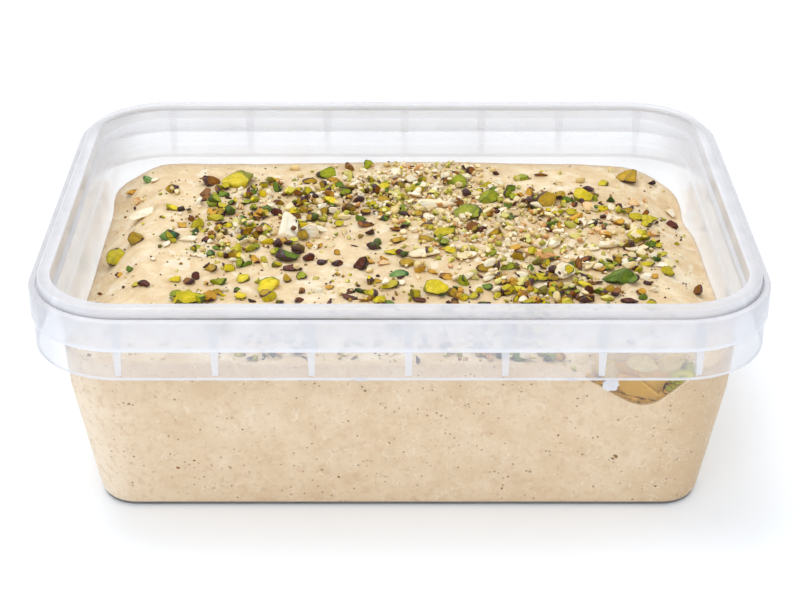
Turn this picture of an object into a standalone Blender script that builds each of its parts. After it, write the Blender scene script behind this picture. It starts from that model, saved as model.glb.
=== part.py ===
"""Sesame halva in its open rectangular tub, topped with chopped pistachios and almonds.

The tub stands on z = 0 with its long side along X. Z points up and -Y is the front.
"""
import math
import random

import bmesh
import bpy
from mathutils import Matrix, Vector

MM = 0.001

# Tub
TUB_LENGTH = 143.0 * MM         # over the band, the widest part
TUB_WIDTH = 107.0 * MM
BAND_CORNER = 19.0 * MM         # plan radius of the band's corners
WALL = 0.7 * MM
FLOOR = 0.8 * MM
BASE_HALF = 61.0 * MM           # half the length where the walls leave the base's rounding
BASE_ROUNDING = 2.5 * MM
BASE_CORNER = 8.5 * MM
MIDDLE_HALF = 65.3 * MM
MIDDLE_HEIGHT = 26.0 * MM
MIDDLE_CORNER = 12.6 * MM
FILL_HALF = 66.1 * MM           # half the length, outside, at the halva's level
FILL_CORNER = 13.4 * MM
CORNER_STEPS = 8
ROUNDING_STEPS = 4
# The wall above the halva as half length, height and plan radius in millimetres: outside going
# up past the ledge for nested tubs to the small ledge under the lid's seat, then inside going down
NECK_OUTSIDE = (
    (66.3, 40.4, 13.6), (66.6, 41.0, 13.9), (67.0, 45.8, 14.3), (67.8, 46.3, 15.1),
    (68.1, 47.3, 15.6),
)
NECK_INSIDE = (
    (67.0, 46.9, 14.5), (66.8, 46.6, 14.3), (66.3, 45.9, 13.7), (65.9, 41.2, 13.2),
    (65.6, 40.8, 12.9), (65.5, 40.4, 12.8),
)
# The rim as millimetres inwards from the band's face, and height: the skirt's inner face and
# foot, the band, the upright rim and the lip
CHANNEL_CEILING = 47.3 * MM     # underside of the solid rim, above the channel behind the skirt
SKIRT_INSET = 1.2 * MM          # the skirt's inner face
RIM_SECTION = (
    (1.2, 47.3), (1.2, 35.9), (1.1, 35.8), (0.6, 35.8), (0.5, 36.0), (0.5, 41.5),
    (0.15, 41.8), (0.0, 42.4), (0.0, 47.7), (0.25, 48.1), (1.5, 48.2), (1.7, 48.4),
    (1.7, 49.4), (1.95, 49.85), (2.3, 50.0), (3.95, 50.0), (4.35, 49.7),
)

# Ribs that stiffen the skirt from inside
RIB_SPACING = 18.1 * MM         # along the front and the back
SIDE_RIB_SPACING = 18.6 * MM
RIB_SHIFT = 1.6 * MM
RIB_TOP_WIDTH = 2.0 * MM
RIB_FOOT_WIDTH = 1.1 * MM
RIB_FOOT = 36.6 * MM
RIB_DEPTH = 1.5 * MM
RIB_BITE = 0.35 * MM            # how far a rib runs into the skirt and the ceiling
FRONT_RIBS = 7
SIDE_RIBS = 4

# Halva
FILL_LEVEL = 36.8 * MM
GAP = 0.3 * MM                  # between the halva and the tub, and under each nut
WAVES = ((0.28, 7.3, 6.1), (0.22, 13.0, 9.5))    # slow waves of the top: height and two spans, mm
WAVE_PHASE = 0.6
EDGE_DIP = 0.8 * MM             # the top falls by this much at the front and back walls
EDGE_REACH = 9.0 * MM
SIDE_DIPS = (7.2 * MM, 4.3 * MM)        # and by this much at the left and right walls,
SIDE_REACH = 7.5 * MM
SIDE_START = -30.0 * MM         # from here backwards
SIDE_FADE = 10.0 * MM
BACK_SHARE = 0.61               # but by so much less at the back end of those walls
BACK_START = 36.0 * MM
BACK_FADE = 3.2 * MM
SLUMP_X = 45.5 * MM             # it falls further round the pocket
SLUMP_DIP = 1.9 * MM
SLUMP_WIDTH = 16.0 * MM
POCKET_X = 47.6 * MM            # the hollow against the front wall, right of the middle
POCKET_DEPTH = 7.6 * MM
POCKET_LEFT = 11.0 * MM
POCKET_RIGHT = 7.0 * MM
POCKET_REACH = 5.4 * MM
CORNER_DIP = 4.3 * MM           # the right back corner is the emptiest
CORNER_REACH = 14.0 * MM
CORNER_PLACE = (64.0 * MM, 33.4 * MM)
HALVA_STEPS = (26, 18)          # points along the long and the short sides
HALVA_HEIGHTS = (10.0 * MM, 18.0 * MM)  # rings up the moulded side, below the uneven edge
EDGE_SHARES = (0.55, 1.0)       # rings from the last of those up to the uneven edge
LEAST_CORNER = 1.2 * MM
TOP_RINGS = [inward * MM for inward in (0.6, 2.2, 4.5, 7.5, 11.0, 15.0, 20.0, 25.5, 31.5, 38.0)]

# Chopped nuts
NUT_CLEARANCE = 0.4 * MM
POCKET_CLEARANCE = 0.8 * MM     # the pocket's steep sides need more
KERNEL_UNEVENNESS = 0.05
KERNEL_CUTS = {"pistachio": 3, "almond": 4}
CUT_TILT = (-0.15, 0.75)
CUT_DISTANCE = (0.30, 0.42)     # from the middle of a kernel of unit size
WELD = 0.02

HALF_DIFFERENCE = (TUB_LENGTH - TUB_WIDTH) / 2
BAND_HALF = TUB_LENGTH / 2
SKIRT_INNER = BAND_HALF - SKIRT_INSET
FRONT_WALL = -(FILL_HALF - HALF_DIFFERENCE - WALL)

# The largest pieces of the topping: kind, x and y of the middle, length, width and height in
# millimetres, turn in degrees
NUT_PIECES = (
    ("pistachio", -36.1, 34.2, 7.2, 5.6, 3.4, 62),
    ("pistachio", -16.6, 39.2, 4.8, 3.4, 2.8, 8),
    ("pistachio", -42.4, 34.0, 4.0, 3.4, 3.0, 20),
    ("pistachio", -61.0, 4.6, 5.0, 4.6, 3.4, 118),
    ("pistachio", -56.6, 7.4, 3.6, 3.0, 2.8, 35),
    ("pistachio", -49.1, 5.2, 4.6, 4.0, 2.8, 10),
    ("almond", -56.2, 20.6, 10.0, 3.0, 1.6, 50),
    ("almond", -23.8, 9.0, 8.6, 5.2, 2.6, 70),
    ("pistachio", -23.4, -3.6, 5.4, 3.8, 3.0, 8),
    ("pistachio", -7.9, -8.7, 3.8, 3.4, 3.4, 80),
    ("pistachio", -42.7, -22.9, 6.2, 4.0, 3.2, 5),
    ("almond", -38.3, -21.6, 3.0, 2.8, 2.6, 40),
    ("pistachio", -26.5, -18.1, 5.0, 4.2, 2.8, 15),
    ("almond", 8.1, 22.8, 10.2, 2.4, 1.8, -6),
    ("pistachio", 13.6, 33.8, 4.8, 3.4, 3.0, -20),
    ("pistachio", 15.6, 17.4, 6.6, 4.8, 3.2, -12),
    ("pistachio", 20.0, 25.1, 4.4, 3.8, 3.4, 30),
    ("pistachio", 9.8, 6.6, 4.8, 4.6, 3.2, 0),
    ("almond", 29.5, -2.8, 10.0, 3.4, 2.2, -24),
    ("pistachio", 41.3, 25.8, 4.4, 4.0, 3.2, -30),
    ("pistachio", 33.0, 23.4, 4.8, 4.2, 3.4, 15),
    ("pistachio", 52.8, 41.0, 5.0, 3.6, 3.0, -15),
    ("pistachio", 7.4, -19.3, 5.2, 3.8, 3.0, -10),
    ("almond", 34.0, -12.2, 5.6, 4.2, 2.4, 25),
    ("pistachio", 45.0, -13.7, 6.6, 4.6, 3.4, -18),
    ("pistachio", 51.2, 5.0, 4.6, 3.6, 2.8, 20),
)
# The pieces that stand in the pocket, the same but for the last number: how far the right end
# is dipped, in degrees
POCKET_PIECES = (
    ("almond", 44.8, -45.3, 9.4, 2.0, 4.0, 14),
    ("pistachio", 53.4, -44.9, 5.0, 2.0, 3.6, -30),
)


def clear_scene():
    for obj in list(bpy.data.objects):
        bpy.data.objects.remove(obj, do_unlink=True)


def make_collection(name):
    collection = bpy.data.collections.new(name)
    bpy.context.scene.collection.children.link(collection)
    return collection


def make_material(name, colour, roughness, transmission=0.0):
    material = bpy.data.materials.new(name)
    material.use_nodes = True
    shader = material.node_tree.nodes["Principled BSDF"]
    shader.inputs["Base Color"].default_value = (*colour, 1.0)
    shader.inputs["Roughness"].default_value = roughness
    shader.inputs["Metallic"].default_value = 0.0
    shader.inputs["Transmission Weight"].default_value = transmission
    return material


def add_object(name, bm, collection, material, location=(0.0, 0.0, 0.0), smooth_angle=30.0):
    bmesh.ops.recalc_face_normals(bm, faces=bm.faces)
    mesh = bpy.data.meshes.new(name)
    bm.to_mesh(mesh)
    bm.free()
    mesh.shade_smooth()
    mesh.set_sharp_from_angle(angle=math.radians(smooth_angle))
    mesh.materials.append(material)
    obj = bpy.data.objects.new(name, mesh)
    obj.location = location
    collection.objects.link(obj)
    return obj


# ---- plan outlines and lofts

def rounded_outline(half_length, corner, z, straight_steps=(1, 1)):
    """A rounded rectangle at height z, anticlockwise from the right side's front end."""
    half_width = half_length - HALF_DIFFERENCE
    centres = ((1, 1, 0), (-1, 1, 90), (-1, -1, 180), (1, -1, 270))
    points = []
    for quarter, (side_x, side_y, start) in enumerate(centres):
        centre = Vector((side_x * (half_length - corner), side_y * (half_width - corner), z))
        for step in range(CORNER_STEPS + 1):
            angle = math.radians(start + 90.0 * step / CORNER_STEPS)
            points.append(centre + corner * Vector((math.cos(angle), math.sin(angle), 0.0)))
        next_x, next_y, next_start = centres[(quarter + 1) % 4]
        angle = math.radians(next_start)
        target = Vector((next_x * (half_length - corner), next_y * (half_width - corner), z))
        target += corner * Vector((math.cos(angle), math.sin(angle), 0.0))
        steps = straight_steps[quarter % 2]
        last = points[-1]
        for step in range(1, steps):
            points.append(last.lerp(target, step / steps))
    return points


def loft(bm, rings):
    """Skin a list of equal-length rings and return the vertices of the first and the last."""
    rows = [[bm.verts.new(point) for point in ring] for ring in rings]
    for lower, upper in zip(rows, rows[1:]):
        count = len(lower)
        for index in range(count):
            following = (index + 1) % count
            bm.faces.new((lower[index], lower[following], upper[following], upper[index]))
    return rows[0], rows[-1]


def wall_half(z, inset):
    """Half the length and the corner radius of the tub's tapered wall, moved in by inset."""
    if z < MIDDLE_HEIGHT:
        share = (z - BASE_ROUNDING) / (MIDDLE_HEIGHT - BASE_ROUNDING)
        half = BASE_HALF + share * (MIDDLE_HALF - BASE_HALF)
        corner = BASE_CORNER + share * (MIDDLE_CORNER - BASE_CORNER)
    else:
        share = (z - MIDDLE_HEIGHT) / (FILL_LEVEL - MIDDLE_HEIGHT)
        half = MIDDLE_HALF + share * (FILL_HALF - MIDDLE_HALF)
        corner = MIDDLE_CORNER + share * (FILL_CORNER - MIDDLE_CORNER)
    return half - inset, corner - inset


def base_rounding(half, corner, radius, floor):
    """Profile steps of the rounding between a floor and a wall, from the floor outwards."""
    profile = []
    for step in range(ROUNDING_STEPS):
        angle = math.radians(90.0 * step / ROUNDING_STEPS)
        inward = radius * (1.0 - math.sin(angle))
        profile.append((half - inward, floor + radius * (1.0 - math.cos(angle)), corner - inward))
    return profile


# ---- the tub

def tub_profile():
    """The tub's section as (half length, height, corner radius), from outer floor to inner floor."""
    profile = base_rounding(BASE_HALF, BASE_CORNER, BASE_ROUNDING, 0.0)
    for z in (BASE_ROUNDING, MIDDLE_HEIGHT, FILL_LEVEL):
        half, corner = wall_half(z, 0.0)
        profile.append((half, z, corner))
    profile += [(half * MM, z * MM, corner * MM) for half, z, corner in NECK_OUTSIDE]
    profile += [(BAND_HALF - inward * MM, z * MM, BAND_CORNER - inward * MM) for inward, z in RIM_SECTION]
    profile += [(half * MM, z * MM, corner * MM) for half, z, corner in NECK_INSIDE]
    for z in (FILL_LEVEL, MIDDLE_HEIGHT, BASE_ROUNDING + FLOOR):
        half, corner = wall_half(z, WALL)
        profile.append((half, z, corner))
    half, corner = wall_half(BASE_ROUNDING, WALL)
    profile += reversed(base_rounding(half, corner, BASE_ROUNDING, FLOOR))
    return profile


def rib_mesh(bm, position, outward):
    """One tapered rib on the skirt's inner face, at a point of that face, facing outward."""
    across = Vector((-outward.y, outward.x, 0.0))
    near = position + outward * RIB_BITE
    far = position - outward * RIB_DEPTH
    corners = []
    for z, width in ((RIB_FOOT, RIB_FOOT_WIDTH), (CHANNEL_CEILING + RIB_BITE, RIB_TOP_WIDTH)):
        for point, sign in ((near, -1), (near, 1), (far, 1), (far, -1)):
            corners.append(bm.verts.new(point + across * sign * width / 2 + Vector((0, 0, z))))
    for face in ((3, 2, 1, 0), (4, 5, 6, 7), (0, 1, 5, 4), (1, 2, 6, 5), (2, 3, 7, 6), (3, 0, 4, 7)):
        bm.faces.new([corners[index] for index in face])


def rib_places():
    """Where the ribs stand on the skirt's inner face, and which way that face looks."""
    half_x = SKIRT_INNER
    half_y = SKIRT_INNER - HALF_DIFFERENCE
    corner = BAND_CORNER - BAND_HALF + SKIRT_INNER
    places = []
    for index in range(FRONT_RIBS):
        offset = (index - (FRONT_RIBS - 1) / 2) * RIB_SPACING + RIB_SHIFT
        for side in (-1, 1):
            places.append(on_rounded_side(offset, half_x, half_y, corner, side))
    for index in range(SIDE_RIBS):
        offset = (index - (SIDE_RIBS - 1) / 2) * SIDE_RIB_SPACING
        for side in (-1, 1):
            places.append((Vector((side * half_x, offset, 0.0)), Vector((side, 0.0, 0.0))))
    return places


def on_rounded_side(offset, half_x, half_y, corner, side):
    """The point at x = offset on the front or back side, which turns away near its ends."""
    past = abs(offset) - (half_x - corner)
    if past <= 0:
        return Vector((offset, side * half_y, 0.0)), Vector((0.0, side, 0.0))
    angle = math.asin(past / corner)
    outward = Vector((math.copysign(math.sin(angle), offset), side * math.cos(angle), 0.0))
    centre = Vector((math.copysign(half_x - corner, offset), side * (half_y - corner), 0.0))
    return centre + outward * corner, outward


def build_tub(parts, cutters):
    bm = bmesh.new()
    rings = [rounded_outline(half, corner, z) for half, z, corner in tub_profile()]
    outer_floor, inner_floor = loft(bm, rings)
    bm.faces.new(reversed(outer_floor))
    bm.faces.new(inner_floor)
    material = make_material("tub_polypropylene", (0.86, 0.88, 0.92), 0.28, transmission=0.8)
    tub = add_object("tub", bm, parts, material)

    ribs = bmesh.new()
    for position, outward in rib_places():
        rib_mesh(ribs, position, outward)
    guide = add_object("rib_guide", ribs, cutters, material)
    guide.hide_render = True
    guide.display_type = "WIRE"
    union = tub.modifiers.new("ribs", "BOOLEAN")
    union.operation = "UNION"
    union.solver = "EXACT"
    union.object = guide
    return tub


# ---- the halva

def bump(distance, width):
    return math.exp(-((distance / width) ** 2))


def halva_height(x, y):
    """Height of the hand-levelled top: slow waves, lower edges and a hollow at the front wall."""
    u = x / MM
    v = y / MM
    (cross, cross_x, cross_y), (slant, slant_x, slant_y) = WAVES
    waves = cross * math.sin(u / cross_x + WAVE_PHASE) * math.cos(v / cross_y)
    waves += slant * math.sin(u / slant_x - v / slant_y)
    height = FILL_LEVEL + waves * MM
    height -= EDGE_DIP * bump(abs(y) + FRONT_WALL, EDGE_REACH)
    height -= SLUMP_DIP * bump(x - SLUMP_X, SLUMP_WIDTH) * bump(y - FRONT_WALL, EDGE_REACH)
    pocket_width = POCKET_LEFT if x < POCKET_X else POCKET_RIGHT
    steep = math.exp(-(((y - FRONT_WALL) / POCKET_REACH) ** 4))
    height -= POCKET_DEPTH * bump(x - POCKET_X, pocket_width) * steep
    fade = 0.5 + 0.5 * math.tanh((y - SIDE_START) / SIDE_FADE)
    fade *= 1.0 - BACK_SHARE * (0.5 + 0.5 * math.tanh((y - BACK_START) / BACK_FADE))
    side_dip = SIDE_DIPS[0] if x < 0 else SIDE_DIPS[1]
    height -= side_dip * fade * bump(abs(x) - FILL_HALF + WALL, SIDE_REACH)
    corner_x, corner_y = CORNER_PLACE
    height -= CORNER_DIP * bump(math.hypot(x - corner_x, y - corner_y), CORNER_REACH)
    return height


def build_halva(parts):
    """Rings up the moulded sides, then in over the top to a last ring that is closed."""
    inset = WALL + GAP
    floor = FLOOR + GAP
    half, corner = wall_half(BASE_ROUNDING, inset)
    profile = base_rounding(half, corner, BASE_ROUNDING, floor)
    for z in (BASE_ROUNDING + floor, *HALVA_HEIGHTS):
        half, corner = wall_half(z, inset)
        profile.append((half, z, corner))
    rings = [rounded_outline(half, corner, z, HALVA_STEPS) for half, z, corner in profile]

    rim_half, rim_corner = wall_half(FILL_LEVEL, inset)
    rim = rounded_outline(rim_half, rim_corner, 0.0, HALVA_STEPS)
    heights = [halva_height(point.x, point.y) for point in rim]
    start = HALVA_HEIGHTS[-1]
    for share in EDGE_SHARES:
        levels = [start + share * (height - start) for height in heights]
        rings.append([wall_point(index, z, inset) for index, z in enumerate(levels)])
    drawn_in = [edge.xy - point.xy for edge, point in zip(rings[-1], rim)]

    for inward in TOP_RINGS:
        ring = rounded_outline(rim_half - inward, max(rim_corner - inward, LEAST_CORNER), 0.0, HALVA_STEPS)
        share = max(0.0, 1.0 - inward / TOP_RINGS[3])
        shifted = [point.xy + shift * share for point, shift in zip(ring, drawn_in)]
        rings.append([Vector((x, y, halva_height(x, y))) for x, y in shifted])

    bm = bmesh.new()
    bottom, top = loft(bm, rings)
    bm.faces.new(reversed(bottom))
    close_long_ring(bm, top)
    material = make_material("halva_sesame", (0.78, 0.62, 0.44), 0.62)
    return add_object("halva", bm, parts, material, smooth_angle=50.0)


def wall_point(index, z, inset):
    """The numbered point of the wall's outline at height z."""
    half, corner = wall_half(z, inset)
    return rounded_outline(half, corner, z, HALVA_STEPS)[index]


def close_long_ring(bm, ring):
    """Close a long narrow ring with one face across each pair of facing points."""
    low = 0
    high = len(ring) - 1
    while high - low > 2:
        bm.faces.new((ring[low], ring[low + 1], ring[high - 1], ring[high]))
        low += 1
        high -= 1
    if high - low == 2:
        bm.faces.new((ring[low], ring[low + 1], ring[high]))


# ---- the nuts

def chopped_kernel(rng, kind, length, width, height):
    """A kernel piece: an uneven ellipsoid with chopped flats, its lowest point at z = 0."""
    bm = bmesh.new()
    bmesh.ops.create_icosphere(bm, subdivisions=2, radius=0.5)
    for vert in bm.verts:
        vert.co *= 1.0 + rng.uniform(-KERNEL_UNEVENNESS, KERNEL_UNEVENNESS)
    for index in range(KERNEL_CUTS[kind]):
        around = rng.uniform(0.0, 2.0 * math.pi)
        up = rng.uniform(*CUT_TILT)
        normal = Vector((math.cos(around), math.sin(around), up)).normalized()
        point = normal * rng.uniform(*CUT_DISTANCE)
        geometry = bm.verts[:] + bm.edges[:] + bm.faces[:]
        cut = bmesh.ops.bisect_plane(bm, geom=geometry, plane_co=point, plane_no=normal,
                                     clear_outer=True, dist=1e-5)
        rim = [item for item in cut["geom_cut"] if isinstance(item, bmesh.types.BMEdge)]
        bmesh.ops.holes_fill(bm, edges=rim, sides=0)
    bmesh.ops.remove_doubles(bm, verts=bm.verts, dist=WELD)
    low = Vector([min(vert.co[axis] for vert in bm.verts) for axis in range(3)])
    high = Vector([max(vert.co[axis] for vert in bm.verts) for axis in range(3)])
    size = Vector((length, width, height))
    for vert in bm.verts:
        for axis in range(3):
            share = (vert.co[axis] - low[axis]) / (high[axis] - low[axis])
            offset = 0.0 if axis == 2 else 0.5
            vert.co[axis] = (share - offset) * size[axis]
    return bm


def build_nut(name, piece, axis, clearance, rng, parts, material):
    """A kernel piece turned about an axis and let down onto the halva's top."""
    kind, x, y, length, width, height, turn = piece
    bm = chopped_kernel(rng, kind, length * MM, width * MM, height * MM)
    bmesh.ops.rotate(bm, verts=bm.verts, cent=(0, 0, 0),
                     matrix=Matrix.Rotation(math.radians(turn), 3, axis))
    centre = Vector((x * MM, y * MM, 0.0))
    lift = max(halva_height(centre.x + v.co.x, centre.y + v.co.y) - v.co.z for v in bm.verts)
    centre.z = lift + clearance
    return add_object(name, bm, parts, material, location=centre, smooth_angle=35.0)


def build_nuts(parts):
    materials = {
        "pistachio": make_material("pistachio_kernel", (0.30, 0.34, 0.06), 0.45),
        "almond": make_material("almond_kernel", (0.80, 0.66, 0.42), 0.50),
    }
    counts = {"pistachio": 0, "almond": 0}
    groups = ((NUT_PIECES, "Z", NUT_CLEARANCE), (POCKET_PIECES, "Y", POCKET_CLEARANCE))
    for pieces, axis, clearance in groups:
        for piece in pieces:
            kind = piece[0]
            counts[kind] += 1
            name = f"{kind}_{counts[kind]:02d}"
            rng = random.Random(f"{kind} {counts[kind]}")
            build_nut(name, piece, axis, clearance, rng, parts, materials[kind])


def main():
    clear_scene()
    parts = make_collection("halva_tub")
    cutters = make_collection("guides")
    build_tub(parts, cutters)
    build_halva(parts)
    build_nuts(parts)


main()
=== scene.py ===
# Sesame halva in its open tub, topped with chopped pistachios and almonds.
# The tub stands on z = 0, its long side along X, and its front looks along -Y.
import math
import random

import bmesh
import bpy
from mathutils import Matrix, Vector, noise


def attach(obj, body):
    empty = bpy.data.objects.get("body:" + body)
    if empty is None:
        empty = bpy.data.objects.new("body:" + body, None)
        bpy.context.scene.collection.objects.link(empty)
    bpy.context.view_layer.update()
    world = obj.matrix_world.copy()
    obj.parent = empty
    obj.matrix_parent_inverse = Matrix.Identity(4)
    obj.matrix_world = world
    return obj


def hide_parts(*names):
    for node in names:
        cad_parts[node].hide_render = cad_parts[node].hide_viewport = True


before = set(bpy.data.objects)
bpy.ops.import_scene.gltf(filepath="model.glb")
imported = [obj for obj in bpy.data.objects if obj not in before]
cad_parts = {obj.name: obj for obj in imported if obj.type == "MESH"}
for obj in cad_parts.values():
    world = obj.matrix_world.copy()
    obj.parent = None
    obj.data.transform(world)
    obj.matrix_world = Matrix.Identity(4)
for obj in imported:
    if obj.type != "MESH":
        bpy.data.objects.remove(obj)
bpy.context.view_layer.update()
mm = 0.001


# ---- small helpers

def srgb(hexColour):
    values = [int(hexColour[i:i + 2], 16) / 255 for i in (1, 3, 5)]
    return [v / 12.92 if v <= 0.04045 else ((v + 0.055) / 1.055) ** 2.4 for v in values] + [1.0]


def bump(distance, width):
    return math.exp(-((distance / width) ** 2))


def addNode(tree, kind, settings=None, links=None):
    # settings go to sockets where the node has one of that name, otherwise to the node itself
    node = tree.nodes.new("ShaderNode" + kind)
    for key, value in (settings or {}).items():
        if key == "stops":
            ramp = node.color_ramp
            while len(ramp.elements) < len(value):
                ramp.elements.new(0.5)
            for element, (position, colour) in zip(ramp.elements, value):
                element.position = position
                element.color = srgb(colour)
        elif isinstance(key, int) or key in node.inputs:
            node.inputs[key].default_value = value
        else:
            setattr(node, key, value)
    for key, socket in (links or {}).items():
        tree.links.new(socket, node.inputs[key])
    return node


def newMaterial(name):
    material = bpy.data.materials.new(name)
    material.use_nodes = True
    tree = material.node_tree
    tree.nodes.clear()
    return material, tree


def finishPiece(name, bm, materials, replaces, smoothAngle=None):
    mesh = bpy.data.meshes.new(name)
    bm.to_mesh(mesh)
    bm.free()
    if smoothAngle:
        mesh.shade_smooth()
        mesh.set_sharp_from_angle(angle=math.radians(smoothAngle))
    for material in materials:
        mesh.materials.append(material)
    piece = bpy.data.objects.new(name, mesh)
    bpy.context.scene.collection.objects.link(piece)
    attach(piece, "root")
    if replaces:
        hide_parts(*replaces)
    print("piece", name, len(mesh.polygons), "faces")
    return piece


# ---- camera, light and floor

cameraSettings = {
    "target": (-2.0, 0.0, 24.07),   # mm
    "distance": 406.5,              # mm
    "pitch": 27.8,                  # degrees down
    "shift": 0.0135,                # the tub stands a little to the right of the lens
    "lens": 85.05,
    "sensor": 36.0,
}

lightSettings = {
    "world": "#FFFFFF",
    "worldStrength": 0.75,
    # place in mm, size in mm, power in watts
    "lamps": (
        ("keyLamp", (-200, 240, 1000), 620, 4.2),
        ("fillLamp", (-260, -800, 700), 640, 1.5),
    ),
    "floorSize": 6.0,
    "floor": "#F1F7FF",
    "floorGlow": 0.19,    # the table is lit from below too, so that the shadows stay pale
}


def setCamera():
    pitch = math.radians(cameraSettings["pitch"])
    forward = Vector((0, math.cos(pitch), -math.sin(pitch)))
    data = bpy.data.cameras.new("camera")
    data.lens = cameraSettings["lens"]
    data.sensor_width = cameraSettings["sensor"]
    data.shift_x = cameraSettings["shift"]
    data.clip_start = 0.01
    camera = bpy.data.objects.new("camera", data)
    camera.location = (Vector(cameraSettings["target"]) - forward * cameraSettings["distance"]) * mm
    camera.rotation_euler = forward.to_track_quat("-Z", "Y").to_euler()
    bpy.context.scene.collection.objects.link(camera)
    bpy.context.scene.camera = camera


def setLight():
    scene = bpy.context.scene
    scene.view_settings.view_transform = "Standard"
    scene.view_settings.look = "None"
    scene.cycles.transparent_max_bounces = 40    # many thin plastic faces lie behind each other
    world = bpy.data.worlds.new("studio")
    world.use_nodes = True
    background = world.node_tree.nodes["Background"]
    background.inputs["Color"].default_value = srgb(lightSettings["world"])
    background.inputs["Strength"].default_value = lightSettings["worldStrength"]
    scene.world = world
    for name, place, size, power in lightSettings["lamps"]:
        lamp = bpy.data.lights.new(name, "AREA")
        lamp.shape = "DISK"
        lamp.size = size * mm
        lamp.energy = power
        lampObject = bpy.data.objects.new(name, lamp)
        lampObject.location = Vector(place) * mm
        lampObject.rotation_euler = (-Vector(place)).to_track_quat("-Z", "Y").to_euler()
        scene.collection.objects.link(lampObject)
    bm = bmesh.new()
    bmesh.ops.create_grid(bm, x_segments=1, y_segments=1, size=lightSettings["floorSize"] / 2)
    mesh = bpy.data.meshes.new("floor")
    bm.to_mesh(mesh)
    bm.free()
    material, tree = newMaterial("paper backdrop matte")
    shader = addNode(tree, "BsdfPrincipled", {
        "Base Color": srgb(lightSettings["floor"]), "Roughness": 0.9, "Specular IOR Level": 0.1,
        "Emission Color": srgb("#FFFFFF"), "Emission Strength": lightSettings["floorGlow"]})
    addNode(tree, "OutputMaterial", links={"Surface": shader.outputs[0]})
    mesh.materials.append(material)
    floor = bpy.data.objects.new("floor", mesh)
    floor.location = (0, 0, -0.00005)
    scene.collection.objects.link(floor)


setCamera()
setLight()
print("camera and light ready")


# ---- plastic

plasticSettings = {
    "colour": "#EBECF2",
    "crease": "#6C6E70",  # painted shade: in the narrow groove, on the flange's two ends and as a contact shadow along the foot's edge
    "roughness": 0.16,
    "ior": 1.49,
    "hazeWave": 9.0,      # mm, cloudy flow of the melt
    "hazeSwing": 0.25,    # share of the haze that the clouds take or add
    "edgeHaze": 0.06,     # more is seen of the plastic where the eye runs along it
    "polish": 1.6,        # mm, faint unevenness of the polished mould
}


def makePolypropylene():
    # polypropylene injection moulded: milky clear, soft gloss, denser where it is thick
    s = plasticSettings
    material, tree = newMaterial("polypropylene moulded")
    place = addNode(tree, "TexCoord")
    haze = addNode(tree, "Attribute", {"attribute_name": "haze"})
    clouds = addNode(tree, "TexNoise", {"Scale": 1000 / s["hazeWave"], "Detail": 3.0},
                     {"Vector": place.outputs["Object"]})
    swing = addNode(tree, "MapRange", {"To Min": 1 - s["hazeSwing"], "To Max": 1 + s["hazeSwing"]},
                    {"Value": clouds.outputs["Fac"]})
    cloudy = addNode(tree, "Math", {"operation": "MULTIPLY"},
                     {0: haze.outputs["Fac"], 1: swing.outputs["Result"]})
    facing = addNode(tree, "LayerWeight", {"Blend": 0.35})
    edge = addNode(tree, "Math", {"operation": "MULTIPLY_ADD", 1: s["edgeHaze"], "use_clamp": True},
                   {0: facing.outputs["Facing"], 2: cloudy.outputs[0]})
    waves = addNode(tree, "TexNoise", {"Scale": 1000 / s["polish"], "Detail": 2.0},
                    {"Vector": place.outputs["Object"]})
    relief = addNode(tree, "Bump", {"Strength": 0.06, "Distance": 0.1 * mm},
                     {"Height": waves.outputs["Fac"]})
    # painted shade, darkening the plastic where hazeAt puts it
    crease = addNode(tree, "Attribute", {"attribute_name": "crease"})
    colour = addNode(tree, "Mix", {"data_type": "RGBA", 6: srgb(s["colour"]), 7: srgb(s["crease"])},
                     {0: crease.outputs["Fac"]})
    shader = addNode(tree, "BsdfPrincipled", {"Roughness": s["roughness"], "IOR": s["ior"]},
                     {"Base Color": colour.outputs[2], "Alpha": edge.outputs[0],
                      "Normal": relief.outputs["Normal"]})
    addNode(tree, "OutputMaterial", links={"Surface": shader.outputs[0]})
    return material


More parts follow.
